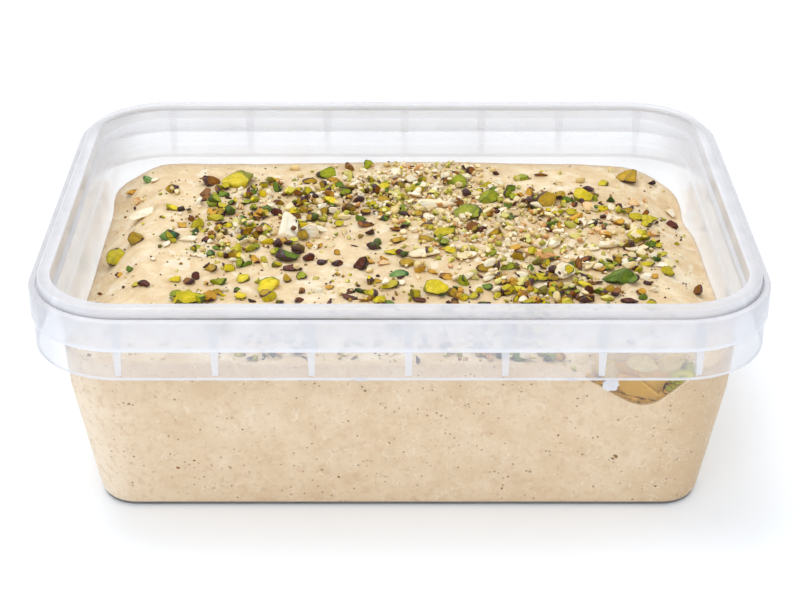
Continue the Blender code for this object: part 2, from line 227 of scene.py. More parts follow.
tubSettings = {
    "cornerCentre": (52.6, 34.6),   # mm, the axes that all the corners turn round
    "cornerSteps": 16,
    "straightSteps": 8,
    # section of the wall: half length and height in mm, and how milky the plastic looks there,
    # from the outer floor round the rim to the inner floor
    "section": (
        (58.5, 0, 0.7), (59.45, 0.19, 0.7), (59.9, 0.45, 0.5), (60.27, 0.73, 0.06), (60.81, 1.54, 0.03),
        (61, 2.5, 0.03), (65.3, 26, 0.03), (66, 35.6, 0.03), (66.1, 36.8, 0.2), (66.3, 40.4, 0.2),
        (66.4, 40.75, 0.2), (66.6, 41, 0.2), (67, 45.8, 0.1), (67.8, 46.3, 0.04), (68.1, 46.7, 0.04),
        (68.1, 47.3, 0.04), (70.3, 47.3, 0.04), (70.3, 35.7, 0.05), (70.4, 35.55, 0.95), (70.9, 35.55, 1),
        (71, 35.75, 1), (71, 36.1, 0.9), (71, 36.25, 0.29), (71, 41.5, 0.26), (71.35, 41.8, 0.95),
        (71.5, 42.4, 0.9), (71.5, 42.9, 0.74), (71.5, 47.7, 0.72), (71.42, 47.97, 0.85),
        (71.25, 48.1, 0.8), (70.3, 48.15, 0.75), (70.15, 48.05, 0.85), (70.1, 47.55, 0.9),
        (69.8, 47.55, 0.9), (69.75, 48.05, 0.85), (69.75, 48.15, 0.8), (69.75, 49.4, 0.75),
        (69.68, 49.66, 0.8), (69.5, 49.85, 0.65), (69.2, 50, 0.6), (67.55, 50, 0.68), (67.3, 49.92, 0.85),
        (67.15, 49.7, 0.85), (67.1, 49.4, 0.62), (67, 46.9, 0.5), (66.8, 46.6, 0.55), (66.5, 46.35, 0.62),
        (66.3, 45.9, 0.56), (65.97, 41.5, 0.5), (65.88, 41.2, 0.55), (65.6, 40.8, 0.55),
        (65.5, 40.4, 0.55), (65.4, 36.8, 0.6), (65.05, 32, 0.5), (64.6, 26, 0.45), (60.3, 3.3, 0.02),
        (60.1, 2.3, 0.02), (59.6, 1.5, 0.02), (58.8, 1, 0.02), (57.8, 0.8, 0.02),
    ),
    "groove": ((70.15, 48.05), (70.1, 47.55), (69.8, 47.55), (69.75, 48.05)),   # beside the rim's foot
    # torn ends of the tear strip on the skirt's foot: x, height, length and height over all, mm
    "burrs": ((39.6, 34.5, 2.7, 2.1), (-7.3, 35.7, 2.4, 0.45), (32.0, 35.7, 1.6, 0.35)),
    "ribs": {"spacing": 18.1, "shift": 1.6, "count": 7, "topWidth": 2.0, "footWidth": 1.1,
             "top": 47.2, "foot": 36.6, "depth": 1.4, "sideCount": 4, "sideSpacing": 18.6,
             "haze": 0.72, "backShare": 0.3},
}


milkSettings = {
    # haze of the front wall, low and at the neck, where the halva stands against it
    "front": 0.04, "frontNeck": 0.2,
    # shares that the back wall, its outer skirt and its rim lack, as they came out thinner
    "backLack": 0.3, "skirtLack": 0.5, "rimLack": 0.4,
    "sideMore": 0.12,        # the side walls are seen at a slant
    "end": 0.8,              # the flange is thick at its two ends,
    "endShade": (0.25, 0.16),    # and greyed with painted shade, left and right
    "footLeft": 0.68,        # share of the haze left in the front skirt's lower edge
    "burr": 0.75,
}


def outward(co):
    # distance of a point from the corner axes, and the way it faces
    cx, cy = (c * mm for c in tubSettings["cornerCentre"])
    anchor = Vector((max(-cx, min(cx, co.x)), max(-cy, min(cy, co.y)), 0))
    across = Vector((co.x, co.y, 0)) - anchor
    return anchor, across


def hazeAt(co):
    # the haze of the nearest corner of the section, and how much painted shade lies there: in the groove, on
    # the flange's two ends and along the foot's edge
    away = outward(co)[1].length / mm + tubSettings["cornerCentre"][0]
    x, y, z = co / mm
    nearest = min(tubSettings["section"], key=lambda point: math.hypot(point[0] - away, point[1] - z))
    haze = nearest[2]
    m = milkSettings
    if 20 < z < 41.3 and away < 68:
        front = min(1.0, max(0.0, (-y - 36) / 8))
        haze += (m["front" if z < 36.9 or away > 66.05 else "frontNeck"] - haze) * front
    back = min(1.0, max(0.0, (y - 25) / 15))
    haze *= 1 - m["skirtLack" if away > 66.05 and z < 41.6 else "backLack"] * back
    if z > 45.8 and away < 69 and not 46.7 < z < 48:
        haze *= 1 - m["rimLack"] * back
    side = bump(max(0.0, 66 - abs(x)), 6) * min(1.0, max(0.0, (45 - abs(y)) / 15))
    if 36 < z and away < 69:
        haze += m["sideMore"] * side
    end = min(1.0, max(0.0, (abs(x) - 60) / 9))
    shade = 0.0
    if away > 70.2 and z > 36:
        haze += (m["end"] - haze) * (0.9 if z < 41.6 else 0.4) * end
        # painted shade on the flange's two ends
        shade = m["endShade"][0 if x < 0 else 1] * end
    if z < 36.2 and away > 70.3 and y < -46:
        haze *= m["footLeft"]
    if z < 0.6 and away > 58:        # painted contact shadow along the foot's edge
        shade = 1.0
    # painted shade in the groove beside the rim's foot, darkest towards the right end's back and along the
    # front
    if nearest[:2] in tubSettings["groove"]:
        shade = max(0.1, 0.6 * bump(math.hypot(x - 68, y - 30), 14), bump(x + 16, 34) if y < -45 else 0)
    return haze, shade


def buildTub(material):
    s = tubSettings
    cx, cy = (c * mm for c in s["cornerCentre"])
    bm = bmesh.new()
    points = [bm.verts.new((a * mm, -cy, z * mm)) for a, z, milk in s["section"]]
    chain = [bm.edges.new(pair) for pair in zip(points, points[1:])]
    for corner, travel in (((cx, cy), (0, 2 * cy)), ((-cx, cy), (-2 * cx, 0)),
                           ((-cx, -cy), (0, -2 * cy)), ((cx, -cy), (2 * cx, 0))):
        for step in range(s["straightSteps"]):
            straight = bmesh.ops.extrude_edge_only(bm, edges=chain)["geom"]
            moved = [g for g in straight if isinstance(g, bmesh.types.BMVert)]
            bmesh.ops.translate(bm, verts=moved, vec=Vector((*travel, 0)) / s["straightSteps"])
            chain = [g for g in straight if isinstance(g, bmesh.types.BMEdge)]
        turned = bmesh.ops.spin(bm, geom=moved + chain, cent=(*corner, 0), axis=(0, 0, 1),
                                angle=math.pi / 2, steps=s["cornerSteps"], use_merge=False)["geom_last"]
        chain = [g for g in turned if isinstance(g, bmesh.types.BMEdge)]
    bmesh.ops.remove_doubles(bm, verts=bm.verts, dist=0.01 * mm)
    bmesh.ops.holes_fill(bm, edges=[e for e in bm.edges if e.is_boundary], sides=0)
    bmesh.ops.recalc_face_normals(bm, faces=bm.faces)
    haze = bm.verts.layers.float.new("haze")
    crease = bm.verts.layers.float.new("crease")
    for vert in bm.verts:
        vert[haze], vert[crease] = hazeAt(vert.co)
    addRibs(bm, haze)
    for x, z, length, height in s["burrs"]:
        burr = bmesh.ops.create_icosphere(bm, subdivisions=3, radius=0.5)["verts"]
        for vert in burr:
            vert[haze] = milkSettings["burr"]
            ragged = 1 + 0.45 * noise.noise(Vector((vert.co.x * 5 + x, vert.co.z * 5, 0)))
            square = 0.5 / max(0.3, abs(vert.co.x), abs(vert.co.z))
            vert.co = ((x + vert.co.x * length * square * ragged) * mm, (-52.75 + vert.co.y * 0.7) * mm,
                       (z + vert.co.z * height * square * ragged) * mm)
    return finishPiece("tub_shell", bm, [material], ["tub"], 28)


def addRibs(bm, haze):
    r = tubSettings["ribs"]
    cx, cy = tubSettings["cornerCentre"]
    skirt = 70.3 - cx                   # the skirt's inner face, from the corner axes
    places = []
    for side in (-1, 1):
        for i in range(r["count"]):
            x = (i - (r["count"] - 1) / 2) * r["spacing"] + r["shift"]
            past = max(0.0, abs(x) - cx)
            angle = math.copysign(math.asin(past / skirt), x)
            along, across = skirt * math.sin(angle), side * skirt * math.cos(angle)
            places.append((max(-cx, min(cx, x)) + along, side * cy + across,
                           math.atan2(side * math.cos(angle), math.sin(angle))))
        for i in range(r["sideCount"]):
            y = (i - (r["sideCount"] - 1) / 2) * r["sideSpacing"]
            places.append((side * (cx + skirt), y, 0 if side > 0 else math.pi))
    for x, y, facing in places:
        cube = bmesh.ops.create_cube(bm, size=1.0)["verts"]
        for vert in cube:
            top = vert.co.z > 0
            width = r["topWidth"] if top else r["footWidth"]
            vert[haze] = r["haze"] * (r["backShare"] if y > 40 else 1) if vert.co.x > 0 else 0.03
            vert.co = ((0.72 if vert.co.x > 0 else -r["depth"] * (1 if top else 0.8)) * mm,
                       math.copysign(width / 2, vert.co.y) * mm, (r["top"] if top else r["foot"]) * mm)
        place = Matrix.Translation((x * mm, y * mm, 0)) @ Matrix.Rotation(facing, 4, "Z")
        bmesh.ops.transform(bm, matrix=place, verts=cube)


plastic = makePolypropylene()
buildTub(plastic)


# ---- halva

halvaSettings = {
    "inset": 0.35,          # mm from the tub's outer face, so that it reaches just into the wall
    "floor": 0.35,          # mm, reaching just into the floor
    "rounding": 2.4,        # mm, of its lower edge
    "level": 36.8,
    "grid": (220, 154),
    "sideSteps": 52,
    "front": -47.4,         # the inner face of the front wall
    "edgeDip": 0.8,
    # mm: how far the paste has sunk along the left and the right wall, and how wide that is; along the
    # back it recovers by a share, from y = backStart on
    "sideDips": (7.2, 4.3), "sideReach": 7.5,
    "backShare": 0.61, "backStart": 36.0, "backFade": 3.2,
    "corner": {"depth": 4.3, "x": 64.0, "y": 33.4, "reach": 14.0},
    "hollow": {"depth": 1.9, "x": 45.5, "width": 16.0, "reach": 9.0},
    "pocket": {"x": 47.6, "left": 11.0, "right": 7.0, "reach": 5.4, "depth": 7.6},
    "wall": ("#DDC19B", "#E5CCA9", "#EBD6B7"),       # pressed against the plastic
    "top": ("#E2C69A", "#EBD3A9", "#F6E5C2"),        # smoothed by the spatula
    "dry": "#FBEDD6",                                # painted light, paler at the left front corner
    "paintedLightShare": 0.8,
    "oil": "#DDBB78",                                # where oil has gathered in the pocket
    "stain": "#AF8740",                              # round the nuts, where their oil and dust lie and painted shade falls between them
    "stainAndShadeShare": 0.6,
    "cornerShade": 0.42,                           # painted shade in the right front corner
    "smear": "#FBF0D8",
    "thread": "#F6EBD8",
    "flake": "#D0AC82",
    # painted shade inside the pits
    "pit": "#927048",
    "speck": "#5E4A2C",
    # noises: size in mm, detail, roughness and distortion
    "patterns": {
        "clouds": (9.0, 5.0, 0.6, 0.0), "strokes": (5.0, 4.0, 0.6, 0.0), "smears": (7.0, 3.0, 0.5, 1.2),
        "flakes": (1.5, 3.0, 0.6, 0.5), "grain": (0.7, 3.0, 0.7, 0.0),
        "threads": (1.7, 1.0, 0.5, 1.4), "threadGate": (2.3, 1.0, 0.5, 0.0),
        "longThreads": (3.0, 1.0, 0.5, 1.4), "longGate": (3.7, 1.0, 0.5, 0.0),
    },
    # round marks, one in some of the cells: cell in mm, colour channel that draws, how rare they are, the
    # largest radius in cells and how sharp; pits of 0.2 to 0.5 mm, and far fewer hull specks
    "dots": {"finePits": (0.9, 0, 0.56, 0.32, 6.0), "widePits": (2.2, 1, 0.68, 0.21, 7.0),
             "specks": (3.0, 2, 0.75, 0.1, 20.0)},
    # what lies over the paste, from below: its colour and its pattern; where a second pattern lets it
    # through, that follows, with the values between which it opens and the share that it opens to
    "layers": (
        ("smear", "top", "smears", 0.55, 0.64, 0.65), ("oil", "oil"), ("dry", "dry"), ("stain", "stain"),
        ("flake", "flakeParts", "top", 2.5, 0.0, 1.0), ("thread", "threads", "threadGate", 0.5, 0.56, 0.5),
        ("thread", "longThreads", "longGate", 0.54, 0.6, 0.5), ("pit", "pits", "top", 1.0, 0.0, 0.85),
        ("speck", "specks"),
    ),
}


widthLess = 18.0    # mm, half of what the tub is less in width than in length


def wallHalf(z):
    # half the length of the tub's outer wall at a height, mm
    return 61.0 + 4.3 * (z - 2.5) / 23.5 if z < 26.0 else 65.3 + 0.8 * (z - 26.0) / 10.8


def halvaHeight(x, y):
    # mm in and out: slow waves, lower edges and a hollow at the front wall
    s = halvaSettings
    waves = 0.28 * math.sin(x / 7.3 + 0.6) * math.cos(y / 6.1) + 0.22 * math.sin(x / 13.0 - y / 9.5)
    height = s["level"] + waves - s["edgeDip"] * bump(abs(y) + s["front"], 9.0)
    hollow, corner = s["hollow"], s["corner"]
    height -= hollow["depth"] * bump(x - hollow["x"], hollow["width"]) * bump(y - s["front"], hollow["reach"])
    height -= pocketDepth(x, y)
    fade = 0.5 + 0.5 * math.tanh((y + 30.0) / 10.0)
    fade *= 1 - s["backShare"] * (0.5 + 0.5 * math.tanh((y - s["backStart"]) / s["backFade"]))
    height -= s["sideDips"][0 if x < 0 else 1] * fade * bump(abs(x) + s["front"] - widthLess, s["sideReach"])
    return height - corner["depth"] * bump(math.hypot(x - corner["x"], y - corner["y"]), corner["reach"])


def pocketDepth(x, y):
    p = halvaSettings["pocket"]
    width = p["left"] if x < p["x"] else p["right"]
    steep = math.exp(-((y - halvaSettings["front"]) / p["reach"]) ** 4)
    return p["depth"] * bump(x - p["x"], width) * steep


def topRelief(x, y):
    # strokes of the spatula, soft lumps, sharp little crests and the paste's grain, mm
    place = Vector((x, y, 0))
    lumps = noise.noise(place / 4.2)
    strokes = noise.noise(Vector((x / 9.0 + 0.4 * lumps, y / 3.4, 3.7)))
    crests = 1 - abs(noise.noise(Vector((x / 5.5 + 0.5 * lumps, y / 2.4 + 9, 1.3)))) * 2.4
    grain = noise.noise(place / 1.4 + Vector((5, 5, 5)))
    return 0.34 * strokes + 0.30 * lumps + 0.26 * max(crests, 0) ** 3 + 0.10 * grain


def makeHalva():
    # sesame halva pressed: matte oily paste, pale threads of pulled sugar, pits where air was caught, painted
    # darker as the shade in them
    s = halvaSettings
    material, tree = newMaterial("sesame halva pressed")
    place = addNode(tree, "TexCoord").outputs["Object"]
    sockets = {}
    for name in ("top", "oil", "dry", "stain"):
        sockets[name] = addNode(tree, "Attribute", {"attribute_name": name}).outputs["Fac"]
    for name, (size, detail, roughness, distortion) in s["patterns"].items():
        sockets[name] = addNode(tree, "TexNoise", {
            "Scale": 1000 / size, "Detail": detail, "Roughness": roughness, "Distortion": distortion},
            {"Vector": place}).outputs["Fac"]
    for name, (cell, channel, rarest, largest, sharpness) in s["dots"].items():
        cells = addNode(tree, "TexVoronoi", {"Scale": 1000 / cell}, {"Vector": place})
        chance = addNode(tree, "SeparateColor", links={"Color": cells.outputs["Color"]})
        radius = addNode(tree, "MapRange", {"From Min": rarest, "To Max": largest},
                         {"Value": chance.outputs[channel]})
        inside = addNode(tree, "Math", {"operation": "SUBTRACT"},
                         {0: radius.outputs["Result"], 1: cells.outputs["Distance"]})
        sockets[name] = addNode(tree, "Math", {"operation": "MULTIPLY", 1: sharpness, "use_clamp": True},
                                {0: inside.outputs[0]}).outputs[0]
    sockets["pits"] = addNode(tree, "Math", {"operation": "MAXIMUM"},
                              {0: sockets["finePits"], 1: sockets["widePits"]}).outputs[0]
    sockets["flakeParts"] = addNode(tree, "MapRange", {"From Min": 0.5, "From Max": 0.66, "To Max": 0.4},
                                    {"Value": sockets["flakes"]}).outputs["Result"]
    for name in ("threads", "longThreads"):    # where a twisted noise passes its middle, thin curls show
        sockets[name] = addNode(tree, "ValToRGB", {"stops": (
            (0.0, "#000000"), (0.478, "#000000"), (0.5, "#FFFFFF"), (0.522, "#000000"), (1.0, "#000000"))},
            {"Fac": sockets[name]}).outputs["Color"]

    # the paste: nearly even on the walls, streaked with paler and darker strokes on the top
    wall = addNode(tree, "ValToRGB", {"stops": list(zip((0.32, 0.5, 0.7), s["wall"]))},
                   {"Fac": sockets["clouds"]})
    top = addNode(tree, "ValToRGB", {"stops": list(zip((0.33, 0.5, 0.66), s["top"]))},
                  {"Fac": sockets["strokes"]})
    paste = addNode(tree, "Mix", {"data_type": "RGBA"},
                    {0: sockets["top"], 6: wall.outputs["Color"], 7: top.outputs["Color"]})
    for colour, name, *gate in s["layers"]:
        share = sockets[name]
        if gate:
            second, low, high, most = gate
            opened = addNode(tree, "MapRange", {"From Min": low, "From Max": high, "To Max": most},
                             {"Value": sockets[second]})
            share = addNode(tree, "Math", {"operation": "MULTIPLY"},
                            {0: share, 1: opened.outputs["Result"]}).outputs[0]
        paste = addNode(tree, "Mix", {"data_type": "RGBA", 7: srgb(s[colour])},
                        {0: share, 6: paste.outputs[2]})

    # relief: grain of the ground seed, and the pits
    depth = addNode(tree, "Math", {"operation": "MULTIPLY_ADD", 1: -1.6},
                    {0: sockets["pits"], 2: sockets["grain"]})
    relief = addNode(tree, "Bump", {"Strength": 0.55, "Distance": 0.18 * mm}, {"Height": depth.outputs[0]})
    gloss = addNode(tree, "MapRange", {"From Min": 0.35, "From Max": 0.7, "To Min": 0.45, "To Max": 0.68},
                    {"Value": sockets["clouds"]})
    shader = addNode(tree, "BsdfPrincipled", {
        "IOR": 1.46, "Subsurface Weight": 0.12, "Subsurface Radius": (1.0, 0.7, 0.45),
        "Subsurface Scale": 1.2 * mm},
        {"Base Color": paste.outputs[2], "Roughness": gloss.outputs["Result"],
         "Normal": relief.outputs["Normal"]})
    addNode(tree, "OutputMaterial", links={"Surface": shader.outputs[0]})
    return material


def halvaSide(co, z, reach):
    # the point at height z (mm) that stands reach (mm) off the corner axes, on the same bearing as co
    anchor, across = outward(co)
    return anchor + across.normalized() * reach * mm + Vector((0, 0, z * mm))


def stainAt(pile, x, y):
    # how much of the neighbourhood of a point lies under nuts
    cell = nutSettings["cell"]
    i, j = math.floor(x / cell), math.floor(y / cell)
    near = [(i + a, j + b) for a in (-2, -1, 0, 1, 2) for b in (-2, -1, 0, 1, 2)]
    return sum(pile.get(place, 0) > 0.3 for place in near) / len(near)


def buildHalva(material, pile):
    s = halvaSettings
    cx, cy = tubSettings["cornerCentre"]

    def wallReach(z):
        return wallHalf(z) - s["inset"] - cx

    radius = wallReach(s["level"])
    bm = bmesh.new()
    onTop = bm.verts.layers.float.new("top")
    oil = bm.verts.layers.float.new("oil")
    stain = bm.verts.layers.float.new("stain")
    dry = bm.verts.layers.float.new("dry")
    bmesh.ops.create_grid(bm, x_segments=s["grid"][0], y_segments=s["grid"][1], size=1.0)
    for vert in bm.verts:
        x, y = vert.co.x * (cx + radius), vert.co.y * (cy + radius)
        over, up = abs(x) - cx, abs(y) - cy
        if over > 0 and up > 0:          # a corner's square is drawn in to a quarter disc
            pull = max(over, up) / math.hypot(over, up)
            x = math.copysign(cx + over * pull, x)
            y = math.copysign(cy + up * pull, y)
        inner = min(1.0, max(0.0, (radius - outward(Vector((x * mm, y * mm, 0)))[1].length / mm) / 2.5))
        vert.co = (x * mm, y * mm, (halvaHeight(x, y) + topRelief(x, y) * (0.3 + 0.7 * inner)) * mm)
        vert[oil] = min(1.0, max(0.0, (pocketDepth(x, y) - 2.0) / 2.5)) * inner
        vert[onTop] = 0.25 + 0.75 * inner
        # oil, dust and painted shade round the nuts
        vert[stain] = s["stainAndShadeShare"] * stainAt(pile, x, y) * inner
    edges = [e for e in bm.edges if e.is_boundary]
    above = {}
    for vert in {v for e in edges for v in e.verts}:
        vert.co = halvaSide(vert.co, vert.co.z / mm, wallReach(vert.co.z / mm))
        above[vert] = vert.co.z / mm
    # the moulded sides follow the tub's wall down, ring by ring, and round in to the floor
    base = s["rounding"] + s["floor"]
    shares = [1 - (i + 1) / s["sideSteps"] for i in range(s["sideSteps"])]
    bends = [math.radians(90 * i / 4) for i in range(1, 5)]
    for share, bend in [(share, 0) for share in shares] + [(0, bend) for bend in bends]:
        made = bmesh.ops.extrude_edge_only(bm, edges=edges)["geom"]
        edges = [g for g in made if isinstance(g, bmesh.types.BMEdge) and g.is_boundary]
        below = {}
        for vert in (g for g in made if isinstance(g, bmesh.types.BMVert)):
            start = above[next(v for v in (e.other_vert(vert) for e in vert.link_edges) if v in above)]
            z = base + share * (start - base)
            below[vert] = start
            vert[onTop] = vert[oil] = vert[stain] = 0.0
            vert.co = halvaSide(vert.co, z - s["rounding"] * math.sin(bend),
                                wallReach(z) - s["rounding"] * (1 - math.cos(bend)))
            half = wallHalf(z)
            toFront = vert.co.y / mm + half - widthLess
            # painted light: the wall pales towards the left front corner
            vert[dry] = s["paintedLightShare"] * bump(math.hypot(vert.co.x / mm + half, toFront), 8.0)
            # painted shade: the wall darkens towards the right front corner
            vert[stain] = s["cornerShade"] * bump(math.hypot(vert.co.x / mm - half, toFront), 12.0)
        above = below
    bmesh.ops.holes_fill(bm, edges=edges, sides=0)
    bmesh.ops.recalc_face_normals(bm, faces=bm.faces)
    return finishPiece("halva_block", bm, [material], ["halva"], 60)


# ---- nuts

# the middle of the cut, its edge, the outer skin, and how much dried purple skin still clings to that
kernelLooks = {
    "lime": ("#E2D24A", "#BAAC30", "#6E661A", 0.35),
    "green": ("#B4B83C", "#7C8C28", "#43591A", 0.35),
    "dark": ("#7F9636", "#4C6826", "#2F481B", 0.35),
    "olive": ("#CDA93F", "#957822", "#5C4510", 0.5),
    "yellow": ("#FBE45E", "#DCCB3C", "#97962A", 0.1),
    "grey": ("#A2B884", "#6A9262", "#3A6242", 0.25),
    "purple": ("#6E4034", "#44241E", "#281410", 0.4),
    "brown": ("#A8743A", "#704220", "#42220C", 0.5),
    "cream": ("#FFFAE8", "#FBF0D4", "#F6E6C6", 0.0),
    "orange": ("#E8BC62", "#C4913E", "#8A5E28", 0.25),
    "peach": ("#FADFB4", "#EFC692", "#D8A26C", 0.0),
    "crumb": ("#FBEFCC", "#F4E2B2", "#EBD39A", 0.0),
    "pale": ("#F3EBA8", "#DFD67C", "#B9B34E", 0.05),
    "oily": ("#E0B766", "#D8AE5C", "#CCA050", 0.0),       # soaked in the paste's oil
    "soaked": ("#E8D3A2", "#E0C88E", "#D4BA7C", 0.0),
    "wet": ("#DCD454", "#C2BC46", "#A09C3C", 0.0),
}

# the pieces that the solids stand for, in the solids' order:
# look, x, y, length, width and height in mm, turn in degrees
kernels = {
    "pistachio": (
        ("yellow", -36.1, 34.2, 7.2, 5.6, 3.4, 62), ("green", -16.6, 39.2, 4.8, 3.4, 2.8, 8),
        ("brown", -42.4, 34, 4, 3.4, 3, 20), ("lime", -61, 4.6, 5, 4.6, 3.4, 118),
        ("olive", -56.6, 7.4, 3.6, 3, 2.8, 35), ("grey", -49.1, 5.2, 4.6, 4, 2.8, 10),
        ("dark", -23.4, -3.6, 5.4, 3.8, 3, 8), ("purple", -7.9, -8.7, 3.8, 3.4, 3.4, 80),
        ("lime", -42.7, -22.9, 6.2, 4, 3.2, 5), ("yellow", -26.5, -18.1, 5, 4.2, 2.8, 15),
        ("green", 13.6, 33.8, 4.8, 3.4, 3, -20), ("green", 15.6, 17.4, 6.6, 4.8, 3.2, -12),
        ("green", 20, 25.1, 4.4, 3.8, 3.4, 30), ("lime", 9.8, 6.6, 4.8, 4.6, 3.2, 0),
        ("yellow", 41.3, 25.8, 4.4, 4, 3.2, -30), ("olive", 33, 23.4, 4.8, 4.2, 3.4, 15),
        ("olive", 52.8, 41, 5, 3.6, 3, -15), ("yellow", 7.4, -19.3, 5.2, 3.8, 3, -10),
        ("dark", 45, -13.7, 6.6, 4.6, 3.4, -18), ("lime", 51.2, 5, 4.6, 3.6, 2.8, 20),
    ),
    "almond": (
        ("cream", -56.2, 20.6, 10, 3, 1.6, 50), ("cream", -23.8, 9, 8.6, 5.2, 2.6, 70),
        ("orange", -38.3, -21.6, 3, 2.8, 2.6, 40), ("cream", 8.1, 22.8, 10.2, 2.4, 1.8, -6),
        ("peach", 29.5, -2.8, 10, 3.4, 2.2, -24), ("cream", 34, -12.2, 5.6, 4.2, 2.4, 25),
    ),
}

leaning = {"almond_02": (5, -26)}     # the piece that stands highest, degrees

# smaller pieces laid one by one among them: x, y and length in mm
laid = {
    "olive": (
        (-51, 31, 3), (-39, -9, 3), (-37, -19, 2.5), (-20, 35, 4), (-15, 18, 4), (-19, 15, 3),
        (-27, -21, 2.5), (-5, -16, 3.3), (-3, 25, 3), (-3, 31, 2.4), (10, 36, 4), (0, 4, 3.8), (6, 4, 3.5),
        (2, -7, 4), (11, -20, 2.8), (18, -10, 4.2), (21, -16, 2.5), (50, 20, 4), (54, 18, 2.7),
        (31, -14, 3), (32, -20, 4), (33, -24, 4.2), (43, -18, 3),
    ),
    "grey": (
        (-57.5, 40, 3), (-29, 20, 4), (0, -12, 4.2), (27, -14, 3),
    ),
    "cream": (
        (-56, 39, 2), (-45, 4, 4.2), (-42, -3, 4), (-34, -5, 4), (5, 41, 4.5), (8, 31, 2.5), (5, -3, 7.2),
        (22, -2, 3.6), (15, -4, 3), (17, -6, 2.6), (40, 0, 5.2), (31, 2, 4.4), (45, 2, 6), (48, -6, 5.6),
        (50, 0, 4.4), (55, -6, 2.6), (51, -12, 3.2), (38, -5, 3.5), (36, 1, 2.9), (-19, 7, 4.4, 3.6),
    ),
    "purple": (
        (-48, 20, 1.8), (-41, 4, 2.6), (-36, -3, 2), (-52, -16, 2.7), (-22, 21, 3.7), (-9, 24, 3),
        (-22, -9, 4.3), (-19, -4, 2.8), (-16, -6, 2.4), (-13, -7, 2.4), (-20, -24, 2.3), (-10, -23, 3.6),
        (16, 43, 2.4), (6, 16, 3.2), (22, 18, 1.6), (18, 9, 2.5), (4, -23, 3), (13, -5, 2), (21, -20, 2.3),
        (43, 31, 2.8), (49, 23, 2.3), (59, 42, 1.9), (45, 16, 1.8), (32, 9, 3.8), (49, -9, 1.7),
        (46, -24, 3.5), (10, -24, 1.4),
    ),
    "brown": (
        (-43, 26, 3.2), (-43, -15, 2.6), (-25, 27, 2.6), (-7, 12, 3.8), (0, 35, 2.8), (13, 40, 3.3),
        (0, 10, 4), (33, 40, 3.2), (28, 24, 1.8), (51, -15, 1.9),
    ),
    "dark": (
        (-39, 27, 2.6), (-37, 23, 2.2), (-38, 0, 3.2), (-56, -7, 1.8), (-33, -18, 1.5), (-33, 28, 3),
        (-32, -7, 3.3), (-8, -20, 2.2), (-3, 15, 2.3), (12, 11, 2), (18, -18, 2.5), (38, 24, 3.3),
        (33, 12, 3.4), (48, -15, 2.8), (54, -4, 2.4),
    ),
    "lime": (
        (-39, 21, 2.8), (-40, 14, 3.6), (-48, 3, 2), (-54, -15, 2.1), (-13, 15, 2.7), (-6, 22, 2.4),
        (-32, 11, 2.5), (-32, -14, 2.8), (-6, -21, 3.4), (-4, -24, 2.7), (-3, 20, 3), (20, 34, 4),
        (-2, -18, 4.2), (21, 5, 3.2), (15, -21, 2.9), (47, 36, 2.8), (55, 17, 4.6), (35, 17, 2.1),
        (34, 4, 2.9), (29, -14, 4), (27, -20, 2.9), (52, -7, 3.2), (56, -1, 2.2), (56, -9, 3),
        (51, -3, 3.6),
    ),
    "green": (
        (-41, 22, 3), (-43, 0, 2.4), (-37, -15, 3.6), (-45, -22, 2.6), (-34, 23, 2.8), (-29, 9, 3),
        (-26, -1, 2.7), (-20, -13, 2.4), (19, -3, 3.8), (23, -9, 4.1), (44, -7, 3.6), (35, -20, 3.4),
    ),
    "yellow": (
        (-50, 21, 3.6), (-37, 11, 2.2), (-46, -14, 2.3), (-30, 27, 2.5), (-14, 32, 2.4), (-15, 23, 4.6),
        (-28, 3, 3), (-32, -22, 2.5), (26, 27, 2.1), (-1, -2, 4.3), (11, -2, 2.8), (24, -19, 3.8),
        (45, 20, 3.4), (38, -17, 3.6), (55, 3, 2.8),
    ),
    "orange": (
        (-61, 37, 3.3), (-41, 18, 2.5), (-47, 11, 1.9), (-28, 32, 1.9), (-19, 3, 1.8), (-6, -6, 2),
        (-3, -5, 2), (-14, -18, 1.8), (4, 28, 2.1), (25, 22, 3.2), (10, -13, 3.6), (25, 0, 2.9),
        (39, 15, 3.6), (48, 13, 2.7), (42, -9, 3), (27, -24, 3.1), (38, -22, 2.2), (53, -12, 1.9),
        (49, -20, 2.1), (-58.5, -6, 2.1),
    ),
    "peach": (
        (-59, 32, 2.4), (-37, 3, 2.6), (-27, 32, 2.1), (-22, 27, 3.7), (-17, -19, 1.7), (-3, -7, 3.2),
        (53, 27, 2.9), (42, 21, 2.5), (55, 9, 3.2),
    ),
}
# the pieces seen through the wall in the pocket: look, node, place in mm, size in mm, dip of the right end
pocketKernels = (
    ("oily", "almond_07", (46.4, -45.4, 29.9), (12.0, 6.4, 5.0), 19),
    ("wet", "pistachio_21", (53.9, -44.8, 31.6), (8.4, 6.0, 4.6), -32),
    ("soaked", None, (51.8, -44.4, 35.0), (6.4, 5.0, 4.0), -12),
    ("soaked", None, (39.8, -45.0, 33.4), (6.0, 5.0, 3.6), 10),
    ("soaked", None, (46.4, -44.8, 34.6), (6.6, 4.0, 3.2), 4),
    ("oily", None, (46.2, -45.0, 31.4), (17.0, 3.4, 6.4), 4),
    # painted shade: this small dark piece stands in for the shadowed gap between the almond and the pistachio
    ("brown", None, (51.6, -45.4, 29.5), (2.0, 2.6, 2.4), 0),
    ("brown", None, (36.7, -46.2, 31.9), (1.6, 1.2, 1.2), 20),
    ("purple", None, (56.3, -46.0, 32.9), (0.8, 0.6, 0.8), 0),
)
